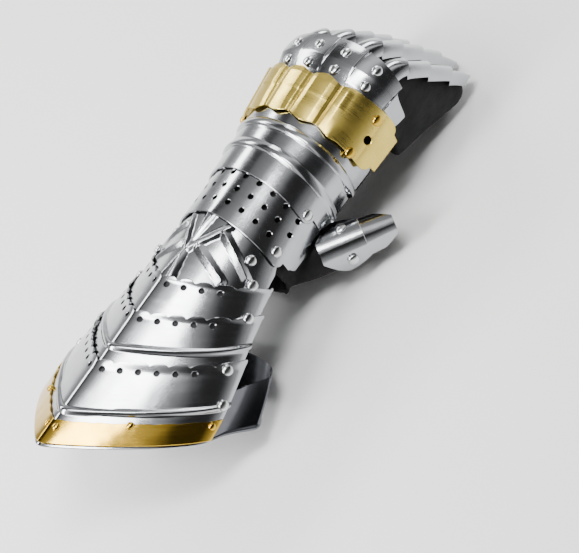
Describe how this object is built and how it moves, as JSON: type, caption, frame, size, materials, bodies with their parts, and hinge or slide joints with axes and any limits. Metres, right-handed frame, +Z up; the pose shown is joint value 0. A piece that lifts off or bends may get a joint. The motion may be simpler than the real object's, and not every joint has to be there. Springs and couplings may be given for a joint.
{
  "type": "armoured gauntlet",
  "caption": "Left-hand plate gauntlet lying palm down: flared hinged cuff with brass trim, pierced wrist lame, fluted hand plate, brass knuckle band, scaled fingers and a leather glove.",
  "frame": {"origin": "middle of the bounding box at table height, with the gauntlet resting palm down on its cuff and fingertips", "axes": "+X along the arm towards the fingertips, +Y towards the little finger's side, +Z up out of the back of the hand"},
  "size_m": [0.449, 0.1774, 0.1103],
  "materials": {
    "steel": "satin polished",
    "dark_steel": "dark glossy",
    "brass": "satin polished",
    "leather": "matt black"
  },
  "bodies": {
    "root": {"cuff_lame_1": "steel", "cuff_lame_2": "steel", "cuff_lame_3": "steel", "finger_root_plate": "steel", "hand_plate": "steel", "index_scale_1": "steel", "index_scale_2": "steel", "index_scale_3": "steel", "index_scale_4": "steel", "inner_cuff_plate": "dark_steel", "knuckle_band": "brass", "leather_glove": "leather", "little_scale_1": "steel", "little_scale_2": "steel", "little_scale_3": "steel", "little_scale_4": "steel", "middle_scale_1": "steel", "middle_scale_2": "steel", "middle_scale_3": "steel", "middle_scale_4": "steel", "middle_scale_5": "steel", "mouth_trim_little_side": "brass", "mouth_trim_thumb_side": "brass", "ring_scale_1": "steel", "ring_scale_2": "steel", "ring_scale_3": "steel", "ring_scale_4": "steel", "ring_scale_5": "steel", "rivet_cuff_1_to_2_little_side": "steel", "rivet_cuff_1_to_2_thumb_side": "steel", "rivet_cuff_2_to_3_little_side": "steel", "rivet_cuff_2_to_3_thumb_side": "steel", "rivet_cuff_3_to_wrist_little_side": "steel", "rivet_cuff_3_to_wrist_thumb_side": "steel", "rivet_cuff_hinge_little_side": "steel", "rivet_cuff_hinge_thumb_side": "steel", "rivet_index_root_1": "steel", "rivet_index_root_2": "steel", "rivet_knuckle_low_little_side": "brass", "rivet_knuckle_low_thumb_side": "brass", "rivet_knuckle_top_little_side": "brass", "rivet_knuckle_top_thumb_side": "brass", "rivet_lame_to_hand_little_side": "steel", "rivet_lame_to_hand_thumb_side": "steel", "rivet_little_root_1": "steel", "rivet_little_root_2": "steel", "rivet_middle_root_1": "steel", "rivet_middle_root_2": "steel", "rivet_ring_root_1": "steel", "rivet_ring_root_2": "steel", "rivet_thumb_base_1": "steel", "rivet_thumb_base_2": "steel", "rivet_wrist_strap_little_side": "steel", "rivet_wrist_strap_thumb_side": "steel", "rivet_wrist_to_lame_little_side": "steel", "rivet_wrist_to_lame_thumb_side": "steel", "thumb_base_plate": "steel", "thumb_tip_plate": "steel", "wrist_lame": "steel", "wrist_plate": "steel"}
  },
  "joints": []
}
